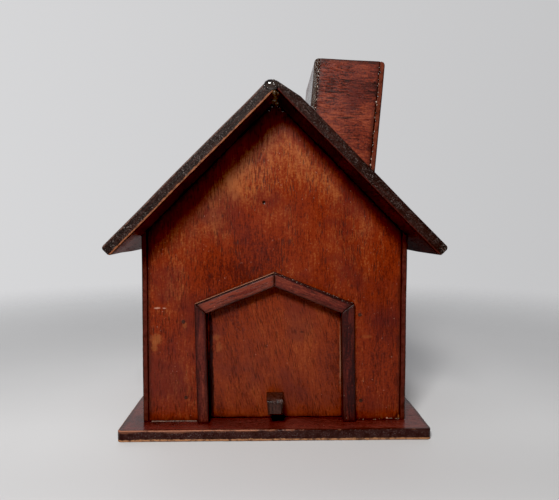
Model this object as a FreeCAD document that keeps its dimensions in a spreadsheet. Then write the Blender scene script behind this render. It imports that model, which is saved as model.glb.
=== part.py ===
import FreeCAD, Part
import math
import os

import Sketcher
from FreeCAD import Vector

# House-shaped plywood money box.
# Frame: millimetres, +Z up, the front (door side) faces -Y, the origin is on the underside of the base,
# in the middle of the house's width and depth.
# Coins drop through the chimney, and the door lifts to let them out.

# Driving dimensions: alias, value (mm, or degrees where it says so), meaning.
DIMENSIONS = [
    ("thin_ply", 3.0, "plywood of the walls, the chimney and the door"),
    ("thick_ply", 6.0, "plywood of the base and the roof"),
    ("strip_stock", 3.5, "thickness of the door trim and of the guide spacers"),
    ("base_width", 164.0, "base board, side to side"),
    ("base_depth", 129.5, "base board, front to back"),
    ("base_corner", 2.0, "radius of the base board's upright corners"),
    ("wall_width", 143.0, "house, outside the side walls"),
    ("wall_depth", 104.0, "house, outside the front and back walls"),
    ("ridge_inside", 178.3, "height where the undersides of the two roof boards meet"),
    ("roof_pitch", 45.0, "roof slope in degrees"),
    ("roof_depth", 152.0, "roof board, front to back"),
    ("eave_reach", 81.15, "lower edge of the eave, from the middle"),
    ("ridge_seam", 182.4, "height of the seam along the ridge, between the two roof boards"),
    ("ridge_peak", 3.8, "highest edge of the left roof board, from the middle"),
    ("ridge_planed", 12.0, "where the planed corner of the right roof board starts, from the middle"),
    ("ridge_block_leg", 10.0, "glue block under the ridge, half its width"),
    ("batten", 8.0, "section of the corner and floor battens"),
    ("corner_batten_length", 98.0, "corner batten, bottom to top"),
    ("opening_half", 36.2, "door opening, half width"),
    ("opening_shoulder", 59.3, "door opening's shoulders, above the base board"),
    ("opening_apex", 73.7, "door opening's apex, above the base board"),
    ("frame_lean", 1.3, "how far the door frame's shoulders lie left of square"),
    ("apex_shift", 0.5, "how far the door frame's apex lies left of the middle"),
    ("jamb_width", 6.2, "door jamb, side to side"),
    ("rafter_height", 8.0, "door rafter, measured upright"),
    ("door_half", 41.0, "door panel, half width"),
    ("door_shoulder", 63.5, "door panel's shoulders, above the base board"),
    ("door_apex", 78.0, "door panel's apex, above the base board"),
    ("door_edge_ease", 0.5, "eased bottom front edge of the door panel"),
    ("slide_gap", 0.25, "running gap between the door panel and the front wall"),
    ("guide_gap", 0.3, "running gap beside the door panel"),
    ("guide_length", 113.0, "door guides, bottom to top"),
    ("guide_outer", 52.8, "outer edge of the door guides, from the middle"),
    ("guide_lip", 3.7, "overlap of a guide cover behind the door panel"),
    ("knob_bottom", 6.0, "underside of the knob, above the base board"),
    ("knob_height", 8.6, "knob, bottom to top"),
    ("knob_top_width", 9.3, "knob, width of its top"),
    ("knob_foot_width", 7.4, "knob, width of its bottom"),
    ("knob_reach", 12.2, "knob, how far it stands out of the door panel"),
    ("knob_facet", 0.9, "chamfer round the knob's front face"),
    ("tenon_radius", 2.5, "round tenon that holds the knob in the door panel"),
    ("chimney_left", 22.8, "top left corner of the chimney's front, from the middle"),
    ("chimney_top", 208.3, "height of that corner"),
    ("chimney_fall", 2.4, "slope of the chimney's top edge in degrees, falling to the right"),
    ("chimney_lean", 4.8, "lean of the chimney in degrees, top to the right"),
    ("chimney_width", 40.8, "chimney, side to side"),
    ("chimney_depth", 60.0, "chimney, front to back"),
    ("slot_plate_inset", 0.6, "depth of the slot plate below the chimney's rim"),
    ("coin_slot_length", 36.0, "coin slot, front to back"),
    ("coin_slot_width", 5.0, "coin slot, side to side"),
    ("roof_hole_left", 23.0, "near edge of the coin hole in the roof, from the middle"),
    ("roof_hole_width", 29.0, "coin hole in the roof, side to side"),
    ("roof_hole_depth", 52.0, "coin hole in the roof, front to back"),
    ("guide_pin_radius", 0.6, "guide pin, shank"),
    ("guide_pin_head", 1.0, "guide pin, radius of its head"),
    ("guide_pin_length", 9.2, "guide pin, head to tip"),
    ("base_pin_radius", 0.7, "base pin, shank"),
    ("base_pin_head", 1.3, "base pin, radius of its head"),
    ("base_pin_length", 11.8, "base pin, head to tip"),
    ("base_pin_pitch", 30.0, "spacing of the base pins, front to back"),
    ("pin_head_height", 0.7, "height of every pin head"),
]

# Guide pins, driven by hand: distance from the middle and height above the table.
GUIDE_PINS = [
    ("left_upper", -49.5, 60.5),
    ("left_lower", -48.3, 19.0),
    ("right_upper", 46.0, 64.0),
    ("right_lower", 47.0, 16.7),
]

# Radius of the small circle on which every outline starts.
START_RADIUS = 10.0

# Distance within which a point counts as lying on a face.
TOUCH = 0.01

doc = FreeCAD.newDocument("plywood_money_box")
sheet = doc.addObject("Spreadsheet::Sheet", "dims")
subparts = []


def fill_sheet():
    """One row per driving dimension: its meaning, its value and the alias that the features use."""
    rows = list(DIMENSIONS)
    for name, across, height in GUIDE_PINS:
        rows.append((name + "_pin_across", across, "guide pin, from the middle"))
        rows.append((name + "_pin_height", height, "guide pin, above the table"))
    for row, (alias, value, meaning) in enumerate(rows, start=1):
        sheet.set(f"A{row}", meaning)
        sheet.set(f"B{row}", str(value))
        sheet.setAlias(f"B{row}", alias)
    doc.recompute()


def bind(feature, expressions):
    """Ties properties of a feature to expressions over the sheet."""
    for name, expression in expressions.items():
        feature.setExpression(name, expression)


def keep(feature, label):
    """Registers a finished sub-part under its own name."""
    feature.Label = label
    subparts.append(feature)
    return feature


def origin_plane(body, role):
    return next(plane for plane in body.Origin.OriginFeatures if plane.Role == role)


def new_sketch(body, role, name):
    sketch = body.newObject("Sketcher::SketchObject", name)
    sketch.AttachmentSupport = [(origin_plane(body, role), "")]
    sketch.MapMode = "FlatFace"
    return sketch


def bind_point(sketch, geometry, point, across=None, up=None):
    """Fixes a sketch point at expressions measured from the sketch's origin.

    Each constraint starts at the point's present place, so that the drawing keeps its shape
    until every expression is set.
    """
    here = sketch.getPoint(geometry, point)
    for kind, now, expression in (("DistanceX", here.x, across), ("DistanceY", here.y, up)):
        if expression is not None:
            constraint = Sketcher.Constraint(kind, -1, 1, geometry, point, now)
            index = sketch.addConstraint(constraint)
            sketch.setExpression(f"Constraints[{index}]", expression)


def draw_outline(sketch, corners):
    """Draws a closed outline, anticlockwise, through corners given as pairs of expressions.

    The drawing starts on a small circle, and its constraints carry each corner to its place.
    """
    count = len(corners)
    turn = 2.0 * math.pi / count
    for side in range(count):
        start, end = side * turn, (side + 1) * turn
        first = Vector(math.cos(start), math.sin(start), 0) * START_RADIUS
        second = Vector(math.cos(end), math.sin(end), 0) * START_RADIUS
        sketch.addGeometry(Part.LineSegment(first, second), False)
    for side in range(count):
        sketch.addConstraint(Sketcher.Constraint("Coincident", side, 2, (side + 1) % count, 1))
    for side, (across, up) in enumerate(corners):
        bind_point(sketch, side, 1, across, up)


def draw_circle(sketch, across, up, radius):
    centre, axis = Vector(START_RADIUS, START_RADIUS, 0), Vector(0, 0, 1)
    circle = sketch.addGeometry(Part.Circle(centre, axis, START_RADIUS), False)
    bind_point(sketch, circle, 3, across, up)
    index = sketch.addConstraint(Sketcher.Constraint("Radius", circle, START_RADIUS))
    sketch.setExpression(f"Constraints[{index}]", radius)


def profile_body(label, corners, front, depth):
    """A board whose outline is seen from the front; it runs back from y = front by depth."""
    body = doc.addObject("PartDesign::Body", label)
    sketch = new_sketch(body, "XZ_Plane", label + "_outline")
    draw_outline(sketch, corners)
    pad = body.newObject("PartDesign::Pad", label + "_pad")
    pad.Profile = sketch
    pad.Reversed = True
    bind(pad, {"Length": depth})
    bind(body, {"Placement.Base.y": front})
    doc.recompute()
    return keep(body, label)


def cut_through(body, sketch, reversed_cut):
    """Cuts a sketch right through a body and makes sure that wood was removed."""
    before = body.Shape.Volume
    pocket = body.newObject("PartDesign::Pocket", sketch.Name + "_cut")
    pocket.Profile = sketch
    pocket.Type = "ThroughAll"
    pocket.Reversed = reversed_cut
    doc.recompute()
    if not body.Shape.Volume < before - 1.0:
        raise RuntimeError(f"{sketch.Name} cuts nothing")


def cut_upright_rectangle(body, name, left, width, depth, middle):
    """Cuts a rectangle, seen from above, straight up through a body; middle is its place in depth."""
    sketch = new_sketch(body, "XY_Plane", name)
    near, far = f"{middle} - {depth} / 2", f"{middle} + {depth} / 2"
    right = f"{left} + {width}"
    draw_outline(sketch, [(left, near), (right, near), (right, far), (left, far)])
    cut_through(body, sketch, reversed_cut=True)


def edges_where(shape, test):
    """Names of the edges whose two end points both pass the test."""
    names = []
    for number, edge in enumerate(shape.Edges, start=1):
        if all(test(vertex.Point) for vertex in edge.Vertexes):
            names.append(f"Edge{number}")
    return names


def chamfer_edges(body, name, test, size):
    """Chamfers the edges of a body that pass the test, in the body's own frame."""
    base = body.Tip
    chosen = edges_where(base.Shape, test)
    if not chosen:
        raise RuntimeError(f"{name} finds no edge")
    chamfer = body.newObject("PartDesign::Chamfer", name)
    chamfer.Base = (base, chosen)
    bind(chamfer, {"Size": size})
    doc.recompute()


def mirrored(corners):
    """The same outline on the other side of the middle, still anticlockwise."""
    return [(f"-({across})", up) for across, up in reversed(corners)]


def under_roof(across):
    """Height of the roof's underside, at a distance from the middle."""
    return f"(dims.ridge_inside - ({across}) * tan(dims.roof_pitch))"


def above_base(height):
    return f"(dims.thick_ply + {height})"


# --- base and walls ---------------------------------------------------------------------------------


def make_base_board():
    body = doc.addObject("PartDesign::Body", "base_board")
    sketch = new_sketch(body, "XY_Plane", "base_outline")
    wide, deep = "dims.base_width / 2", "dims.base_depth / 2"
    draw_outline(
        sketch,
        [(f"-{wide}", f"-{deep}"), (wide, f"-{deep}"), (wide, deep), (f"-{wide}", deep)],
    )
    pad = body.newObject("PartDesign::Pad", "base_pad")
    pad.Profile = sketch
    bind(pad, {"Length": "dims.thick_ply"})
    doc.recompute()
    upright = []
    for number, edge in enumerate(pad.Shape.Edges, start=1):
        if abs(edge.tangentAt(edge.FirstParameter).z) > 0.99:
            upright.append(f"Edge{number}")
    corners = body.newObject("PartDesign::Fillet", "base_corners")
    corners.Base = (pad, upright)
    bind(corners, {"Radius": "dims.base_corner"})
    doc.recompute()
    keep(body, "base_board")


def gable_outline():
    """Five-sided wall between the side walls, from the base board to the roof's underside."""
    edge = "(dims.wall_width / 2 - dims.thin_ply)"
    return [
        (f"-{edge}", "dims.thick_ply"),
        (edge, "dims.thick_ply"),
        (edge, under_roof(edge)),
        ("0", "dims.ridge_inside"),
        (f"-{edge}", under_roof(edge)),
    ]


def frame_points(foot_out, shoulder_up, apex_up):
    """The door frame's line: left foot, left shoulder, apex, right shoulder, right foot.

    foot_out widens the line beyond the opening, and the other two give its heights.
    The whole frame leans a little to the left.
    """
    foot, lean = "dims.thick_ply", "dims.frame_lean / 2"
    return [
        (f"-dims.opening_half - {foot_out} + {lean}", foot),
        (f"-dims.opening_half - {foot_out} - {lean}", above_base(shoulder_up)),
        ("-dims.apex_shift", above_base(apex_up)),
        (f"dims.opening_half + {foot_out} - {lean}", above_base(shoulder_up)),
        (f"dims.opening_half + {foot_out} + {lean}", foot),
    ]


def inner_frame():
    """Edge of the door opening."""
    return frame_points("0", "dims.opening_shoulder", "dims.opening_apex")


def outer_frame():
    """Outer edge of the trim: jamb_width outside the opening, rafter_height above it."""
    slope = "(dims.opening_apex - dims.opening_shoulder) / dims.opening_half"
    shoulder = f"(dims.opening_shoulder + dims.rafter_height - dims.jamb_width * {slope})"
    return frame_points("dims.jamb_width", shoulder, "(dims.opening_apex + dims.rafter_height)")


def make_gable_walls():
    front = profile_body("front_wall", gable_outline(), "-dims.wall_depth / 2", "dims.thin_ply")
    opening = new_sketch(front, "XZ_Plane", "door_opening")
    draw_outline(opening, list(reversed(inner_frame())))
    cut_through(front, opening, reversed_cut=False)
    back_face = "dims.wall_depth / 2 - dims.thin_ply"
    profile_body("back_wall", gable_outline(), back_face, "dims.thin_ply")


def make_side_walls():
    outer = "dims.wall_width / 2"
    inner = "(dims.wall_width / 2 - dims.thin_ply)"
    corners = [
        (inner, "dims.thick_ply"),
        (outer, "dims.thick_ply"),
        (outer, under_roof(outer)),
        (inner, under_roof(inner)),
    ]
    front, depth = "-dims.wall_depth / 2", "dims.wall_depth"
    profile_body("right_wall", corners, front, depth)
    profile_body("left_wall", mirrored(corners), front, depth)


# --- roof -------------------------------------------------------------------------------------------


def over_roof(across):
    """Height of the roof's outer face, at a distance from the middle."""
    return f"({under_roof(across)} + dims.thick_ply / cos(dims.roof_pitch))"


def roof_outline(top_reach):
    """A roof board on the right, from its eave to the upright seam; its outer face ends at top_reach."""
    return [
        ("dims.eave_reach", under_roof("dims.eave_reach")),
        (
            "dims.eave_reach + dims.thick_ply * sin(dims.roof_pitch)",
            under_roof("dims.eave_reach") + " + dims.thick_ply * cos(dims.roof_pitch)",
        ),
        (top_reach, over_roof(top_reach)),
        ("0", "dims.ridge_seam"),
        ("0", "dims.ridge_inside"),
    ]


def make_roof():
    """Two boards meet in an upright seam at the ridge, and the right one's corner is planed away."""
    front, depth = "-dims.roof_depth / 2", "dims.roof_depth"
    right = profile_body("right_roof_board", roof_outline("dims.ridge_planed"), front, depth)
    profile_body("left_roof_board", mirrored(roof_outline("dims.ridge_peak")), front, depth)
    hole = ("dims.roof_hole_left", "dims.roof_hole_width", "dims.roof_hole_depth")
    cut_upright_rectangle(right, "coin_hole", *hole, middle="dims.roof_depth / 2")


def make_ridge_block():
    leg = "dims.ridge_block_leg"
    corners = [(f"-{leg}", under_roof(leg)), (leg, under_roof(leg)), ("0", "dims.ridge_inside")]
    inside = "dims.wall_depth - 2 * dims.thin_ply"
    profile_body("ridge_block", corners, f"-({inside}) / 2", inside)


# --- chimney ----------------------------------------------------------------------------------------

LEAN = "tan(dims.chimney_lean)"
FALL = "tan(dims.chimney_fall)"
WALL_ACROSS = "dims.thin_ply / cos(dims.chimney_lean)"


def chimney_point(offset, drop="0"):
    """A point of the chimney's front, offset from its left edge and drop below its sloping top edge."""
    right = f"(({offset}) - ({drop}) * {LEAN}) / (1 + {FALL} * {LEAN})"
    return (f"dims.chimney_left + {right}", f"dims.chimney_top - ({drop}) - ({right}) * {FALL}")


def chimney_foot(offset):
    """The point where the chimney, offset from its left edge, meets the roof's outer face."""
    apex = over_roof("0")
    rise = f"(dims.chimney_top - {apex})"
    across = (
        f"(dims.chimney_left + ({offset}) - {rise} * {LEAN}) / (1 + tan(dims.roof_pitch) * {LEAN})"
    )
    return (across, f"{apex} - {across} * tan(dims.roof_pitch)")


def chimney_outline(left, right):
    return [chimney_foot(left), chimney_foot(right), chimney_point(right), chimney_point(left)]


def make_chimney():
    left_inside = WALL_ACROSS
    right_inside = f"dims.chimney_width - {WALL_ACROSS}"
    front, depth = "-dims.chimney_depth / 2", "dims.chimney_depth"
    profile_body("chimney_left_board", chimney_outline("0", left_inside), front, depth)
    profile_body("chimney_right_board", chimney_outline(right_inside, "dims.chimney_width"), front, depth)
    between = chimney_outline(left_inside, right_inside)
    profile_body("chimney_front_board", between, front, "dims.thin_ply")
    back = "dims.chimney_depth / 2 - dims.thin_ply"
    profile_body("chimney_back_board", between, back, "dims.thin_ply")

    top, underside = "dims.slot_plate_inset", "(dims.slot_plate_inset + dims.thin_ply)"
    plate_outline = [
        chimney_point(left_inside, underside),
        chimney_point(right_inside, underside),
        chimney_point(right_inside, top),
        chimney_point(left_inside, top),
    ]
    inside = "(dims.chimney_depth - 2 * dims.thin_ply)"
    plate = profile_body("chimney_slot_plate", plate_outline, f"-{inside} / 2", inside)
    slot_left = "dims.chimney_left + (dims.chimney_width - dims.coin_slot_width) / 2"
    slot = (slot_left, "dims.coin_slot_width", "dims.coin_slot_length")
    cut_upright_rectangle(plate, "coin_slot", *slot, middle=f"{inside} / 2")


# --- door frame and guides --------------------------------------------------------------------------


def make_door_trim():
    """Four strips round the opening, mitred at the shoulders and at the apex."""
    inner, outer = inner_frame(), outer_frame()
    front = "-dims.wall_depth / 2 - dims.strip_stock"
    for label, first in (
        ("left_door_jamb", 0),
        ("left_door_rafter", 1),
        ("right_door_rafter", 2),
        ("right_door_jamb", 3),
    ):
        corners = [outer[first], inner[first], inner[first + 1], outer[first + 1]]
        profile_body(label, corners, front, "dims.strip_stock")


def make_box(label, place, size):
    """A plain board or batten from its lowest corner and its size."""
    box = doc.addObject("Part::Box", label)
    for axis, expression in zip(("x", "y", "z"), place):
        bind(box, {"Placement.Base." + axis: expression})
    for side, expression in zip(("Length", "Width", "Height"), size):
        bind(box, {side: expression})
    keep(box, label)


def place_on_side(inner, outer, side):
    """Lowest x and width of something that lies between two distances from the middle."""
    low = inner if side == "right" else f"-({outer})"
    return low, f"{outer} - ({inner})"


def make_door_guides():
    """On each side a spacer as thick as the trim, and behind it a cover that laps over the door's edge."""
    wall_back = "(-dims.wall_depth / 2 + dims.thin_ply)"
    for side in ("left", "right"):
        low, width = place_on_side("dims.door_half + dims.guide_gap", "dims.guide_outer", side)
        make_box(
            side + "_guide_spacer",
            (low, wall_back, "dims.thick_ply"),
            (width, "dims.strip_stock", "dims.guide_length"),
        )
        low, width = place_on_side("dims.door_half - dims.guide_lip", "dims.guide_outer", side)
        make_box(
            side + "_guide_cover",
            (low, f"{wall_back} + dims.strip_stock", "dims.thick_ply"),
            (width, "dims.thin_ply", "dims.guide_length"),
        )


def make_battens():
    """Upright battens in the four corners, and one along the foot of each side wall."""
    outer = "dims.wall_width / 2 - dims.thin_ply"
    inner = f"{outer} - dims.batten"
    front_y = "-dims.wall_depth / 2 + dims.thin_ply"
    back_y = "dims.wall_depth / 2 - dims.thin_ply - dims.batten"
    for side in ("left", "right"):
        low, width = place_on_side(inner, outer, side)
        for end, y in (("front", front_y), ("back", back_y)):
            make_box(
                f"{end}_{side}_corner_batten",
                (low, y, "dims.thick_ply"),
                (width, "dims.batten", "dims.corner_batten_length"),
            )
        length = "dims.wall_depth - 2 * (dims.thin_ply + dims.batten)"
        make_box(
            side + "_floor_batten",
            (low, f"-({length}) / 2", "dims.thick_ply"),
            (width, length, "dims.batten"),
        )


# --- door -------------------------------------------------------------------------------------------


def make_door():
    """Five-sided panel that slides up behind the front wall, and the peg that lifts it."""
    face = "(-dims.wall_depth / 2 + dims.thin_ply + dims.slide_gap)"
    half = "dims.door_half"
    corners = [
        (f"-{half}", "dims.thick_ply"),
        (half, "dims.thick_ply"),
        (half, above_base("dims.door_shoulder")),
        ("0", above_base("dims.door_apex")),
        (f"-{half}", above_base("dims.door_shoulder")),
    ]
    panel = profile_body("door_panel", corners, face, "dims.thin_ply")
    foot = float(sheet.get("thick_ply"))
    chamfer_edges(panel, "door_edge", lambda p: p.y < TOUCH and p.z < foot + TOUCH, "dims.door_edge_ease")
    hole = new_sketch(panel, "XZ_Plane", "knob_hole")
    knob_middle = above_base("dims.knob_bottom + dims.knob_height / 2")
    draw_circle(hole, "0", knob_middle, "dims.tenon_radius")
    cut_through(panel, hole, reversed_cut=False)

    low, high = above_base("dims.knob_bottom"), above_base("dims.knob_bottom + dims.knob_height")
    peg = [
        ("-dims.knob_foot_width / 2", low),
        ("dims.knob_foot_width / 2", low),
        ("dims.knob_top_width / 2", high),
        ("-dims.knob_top_width / 2", high),
    ]
    knob = profile_body("door_knob", peg, f"{face} - dims.knob_reach", "dims.knob_reach")
    chamfer_edges(knob, "knob_facets", lambda p: p.y < TOUCH, "dims.knob_facet")
    tenon = new_sketch(knob, "XZ_Plane", "tenon_outline")
    tenon.setExpression("AttachmentOffset.Base.z", "-dims.knob_reach / 2")
    draw_circle(tenon, "0", knob_middle, "dims.tenon_radius")
    pad = knob.newObject("PartDesign::Pad", "tenon")
    pad.Profile = tenon
    pad.Reversed = True
    bind(pad, {"Length": "dims.knob_reach / 2 + dims.thin_ply"})
    doc.recompute()


# --- pins -------------------------------------------------------------------------------------------


def make_pin(name, place, turn, radius, head_radius, length):
    """One pin: a thin shank with a small head at its start, along the turned +Z axis."""
    pin = []
    for part, part_radius, height in (
        ("shank", radius, length),
        ("head", head_radius, "dims.pin_head_height"),
    ):
        cylinder = doc.addObject("Part::Cylinder", f"{name}_{part}")
        cylinder.Placement.Rotation = turn
        for axis, expression in zip(("x", "y", "z"), place):
            bind(cylinder, {"Placement.Base." + axis: expression})
        bind(cylinder, {"Radius": part_radius, "Height": height})
        pin.append(cylinder)
    fused = doc.addObject("Part::Fuse", name)
    fused.Base, fused.Tool = pin
    return fused


def group_pins(label, pins):
    group = doc.addObject("Part::Compound", label)
    group.Links = pins
    doc.recompute()
    keep(group, label)


def make_pins():
    """Guide pins run back through wall, spacer and cover; base pins run up into the floor battens.

    Every head is flush with the wood that it is driven into.
    """
    backwards = FreeCAD.Rotation(Vector(1, 0, 0), -90)
    upwards = FreeCAD.Rotation()
    guide_size = ("dims.guide_pin_radius", "dims.guide_pin_head", "dims.guide_pin_length")
    head_y = "-dims.wall_depth / 2"
    guide_pins = []
    for name, _, _ in GUIDE_PINS:
        place = (f"dims.{name}_pin_across", head_y, f"dims.{name}_pin_height")
        guide_pins.append(make_pin(name + "_pin", place, backwards, *guide_size))
    group_pins("guide_pins", guide_pins)

    base_size = ("dims.base_pin_radius", "dims.base_pin_head", "dims.base_pin_length")
    across = "(dims.wall_width / 2 - dims.thin_ply - dims.batten / 2)"
    base_pins = []
    for side, sign in (("left", "-"), ("right", "")):
        for step in (-1, 0, 1):
            place = (sign + across, f"{step} * dims.base_pin_pitch", "0")
            name = f"{side}_base_pin_{step + 2}"
            base_pins.append(make_pin(name, place, upwards, *base_size))
    group_pins("base_pins", base_pins)


# --- build, check and write -------------------------------------------------------------------------


def check_document():
    for feature in doc.Objects:
        if {"Invalid", "Error"} & set(feature.State):
            raise RuntimeError(f"{feature.Label} failed: {feature.State}")
    for part in subparts:
        shape = part.Shape
        if shape.isNull() or not shape.isValid() or shape.Volume < 1.0:
            raise RuntimeError(f"{part.Label} has no sound shape")
    labels = [part.Label for part in subparts]
    if len(set(labels)) != len(labels):
        raise RuntimeError("two sub-parts share a name")


def write_parts():
    os.makedirs("parts", exist_ok=True)
    for part in subparts:
        part.Shape.exportStep(os.path.join("parts", part.Label + ".step"))
        box = part.Shape.BoundBox
        size = " x ".join(f"{side:.1f}" for side in (box.XLength, box.YLength, box.ZLength))
        print(f"{part.Label}: {len(part.Shape.Solids)} solid(s), {size} mm, {part.Shape.Volume:.0f} mm3")


def main():
    fill_sheet()
    make_base_board()
    make_gable_walls()
    make_side_walls()
    make_roof()
    make_ridge_block()
    make_chimney()
    make_door_trim()
    make_door_guides()
    make_battens()
    make_door()
    make_pins()
    doc.recompute()
    check_document()
    write_parts()


main()
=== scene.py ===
"""Looks of the plywood house money box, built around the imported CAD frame.

Metres, +Z up, front towards -Y.
"""

import math
import random
from types import SimpleNamespace

import bmesh
import bpy
from mathutils import Matrix, Vector, noise


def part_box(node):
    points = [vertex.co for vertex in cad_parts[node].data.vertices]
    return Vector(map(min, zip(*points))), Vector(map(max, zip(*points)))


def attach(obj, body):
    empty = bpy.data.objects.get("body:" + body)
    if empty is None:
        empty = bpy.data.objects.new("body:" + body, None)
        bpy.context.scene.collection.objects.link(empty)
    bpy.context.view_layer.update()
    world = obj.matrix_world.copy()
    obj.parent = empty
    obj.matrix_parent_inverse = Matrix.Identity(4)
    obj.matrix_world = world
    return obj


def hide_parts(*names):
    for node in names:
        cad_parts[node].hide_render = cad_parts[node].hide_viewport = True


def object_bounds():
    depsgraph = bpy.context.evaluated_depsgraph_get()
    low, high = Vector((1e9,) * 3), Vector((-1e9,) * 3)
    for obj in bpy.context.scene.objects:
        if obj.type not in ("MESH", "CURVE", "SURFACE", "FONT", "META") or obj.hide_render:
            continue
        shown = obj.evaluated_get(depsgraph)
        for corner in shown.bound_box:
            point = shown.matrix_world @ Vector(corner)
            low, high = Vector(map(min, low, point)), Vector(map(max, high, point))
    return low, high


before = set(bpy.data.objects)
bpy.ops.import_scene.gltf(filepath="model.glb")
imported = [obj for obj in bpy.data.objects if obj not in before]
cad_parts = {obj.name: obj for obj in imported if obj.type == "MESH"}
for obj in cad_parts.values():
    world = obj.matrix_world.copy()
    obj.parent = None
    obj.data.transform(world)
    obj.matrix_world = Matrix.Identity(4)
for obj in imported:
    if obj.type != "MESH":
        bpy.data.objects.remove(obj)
cad_low, cad_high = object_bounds()

MM = 0.001
# mathutils.noise starts from the clock unless it is given a seed.
NOISE_SEED = 3
noise.seed_set(NOISE_SEED)
RIGHT, BACK, UP = Vector((1, 0, 0)), Vector((0, 1, 0)), Vector((0, 0, 1))


# --- reading the frame ---


def extreme(node, direction):
    """The CAD node's vertex that lies furthest along a direction."""
    way = Vector(direction)
    return max((v.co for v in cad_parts[node].data.vertices), key=way.dot).copy()


def middle(node):
    low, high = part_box(node)
    return (low + high) / 2


def smooth_step(value, low, high):
    share = max(0.0, min(1.0, (value - low) / (high - low)))
    return share * share * (3.0 - 2.0 * share)


wall_low, wall_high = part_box("front_wall")
base_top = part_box("base_board")[1].z
gable_top = wall_high.z
door_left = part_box("left_door_jamb")[1].x
door_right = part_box("right_door_jamb")[0].x
trim_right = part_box("right_door_jamb")[1].x


# --- shader helpers ---


def map_range(tree, low, high, out_low, out_high):
    """A node that maps low..high to out_low..out_high."""
    node = tree.nodes.new("ShaderNodeMapRange")
    node.inputs["From Min"].default_value = low
    node.inputs["From Max"].default_value = high
    node.inputs["To Min"].default_value = out_low
    node.inputs["To Max"].default_value = out_high
    return node


class Shader:
    """Short names for the shader nodes that the materials here are made of."""

    def __init__(self, name):
        self.material = bpy.data.materials.new(name)
        self.material.use_nodes = True
        self.tree = self.material.node_tree
        self.bsdf = self.tree.nodes["Principled BSDF"]

    def link(self, value, socket):
        if isinstance(value, bpy.types.NodeSocket):
            self.tree.links.new(value, socket)
        elif isinstance(value, (tuple, list)) and len(value) == 3 and socket.type == "RGBA":
            socket.default_value = (*value, 1.0)
        else:
            socket.default_value = value

    def attribute(self, name, output="Fac"):
        node = self.tree.nodes.new("ShaderNodeAttribute")
        node.attribute_name = name
        return node.outputs[output]

    def math(self, operation, first, second=0.0):
        node = self.tree.nodes.new("ShaderNodeMath")
        node.operation = operation
        self.link(first, node.inputs[0])
        self.link(second, node.inputs[1])
        return node.outputs[0]

    def add(self, *values):
        total = values[0]
        for value in values[1:]:
            total = self.math("ADD", total, value)
        return total

    def times(self, first, second):
        return self.math("MULTIPLY", first, second)

    def around(self, value, weight):
        """A noise value's swing about 0.5, times a weight."""
        return self.times(self.math("SUBTRACT", value, 0.5), weight)

    def vector(self, operation, first, second=(0, 0, 0)):
        node = self.tree.nodes.new("ShaderNodeVectorMath")
        node.operation = operation
        self.link(first, node.inputs[0])
        self.link(second, node.inputs[1])
        return node.outputs["Value" if operation == "LENGTH" else "Vector"]

    def stretched(self, vector, scales):
        return self.vector("MULTIPLY", vector, scales)

    def noise(self, vector, scale=1.0, detail=2.0, roughness=0.5):
        node = self.tree.nodes.new("ShaderNodeTexNoise")
        self.link(vector, node.inputs["Vector"])
        for name, value in (("Scale", scale), ("Detail", detail), ("Roughness", roughness)):
            node.inputs[name].default_value = value
        return node.outputs["Fac"]

    def ramp(self, value, low, high, out_low=0.0, out_high=1.0):
        """Smooth step of a value between low and high."""
        node = map_range(self.tree, low, high, out_low, out_high)
        node.interpolation_type = "SMOOTHSTEP"
        self.link(value, node.inputs["Value"])
        return node.outputs["Result"]

    def mix(self, factor, first, second):
        node = self.tree.nodes.new("ShaderNodeMix")
        node.data_type = "RGBA"
        self.link(factor, node.inputs["Factor"])
        self.link(first, node.inputs["A"])
        self.link(second, node.inputs["B"])
        return node.outputs["Result"]

    def bump(self, height, distance, strength=1.0, normal=None):
        node = self.tree.nodes.new("ShaderNodeBump")
        node.inputs["Distance"].default_value = distance
        node.inputs["Strength"].default_value = strength
        self.link(height, node.inputs["Height"])
        if normal is not None:
            self.link(normal, node.inputs["Normal"])
        return node.outputs["Normal"]

    def finish(self, color, roughness, normal=None, specular=0.5):
        self.link(color, self.bsdf.inputs["Base Color"])
        self.link(roughness, self.bsdf.inputs["Roughness"])
        self.link(specular, self.bsdf.inputs["Specular IOR Level"])
        if normal is not None:
            self.link(normal, self.bsdf.inputs["Normal"])
        return self.material


# --- materials ---

BARE_WOOD = (0.26, 0.075, 0.022)
PALE_SCAR = (0.42, 0.21, 0.15)
GRIME = (0.012, 0.004, 0.003)


CLOUD_STRENGTH = 0.6
DARK_LAYER = (0.036, 0.0155, 0.0128)


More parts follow.
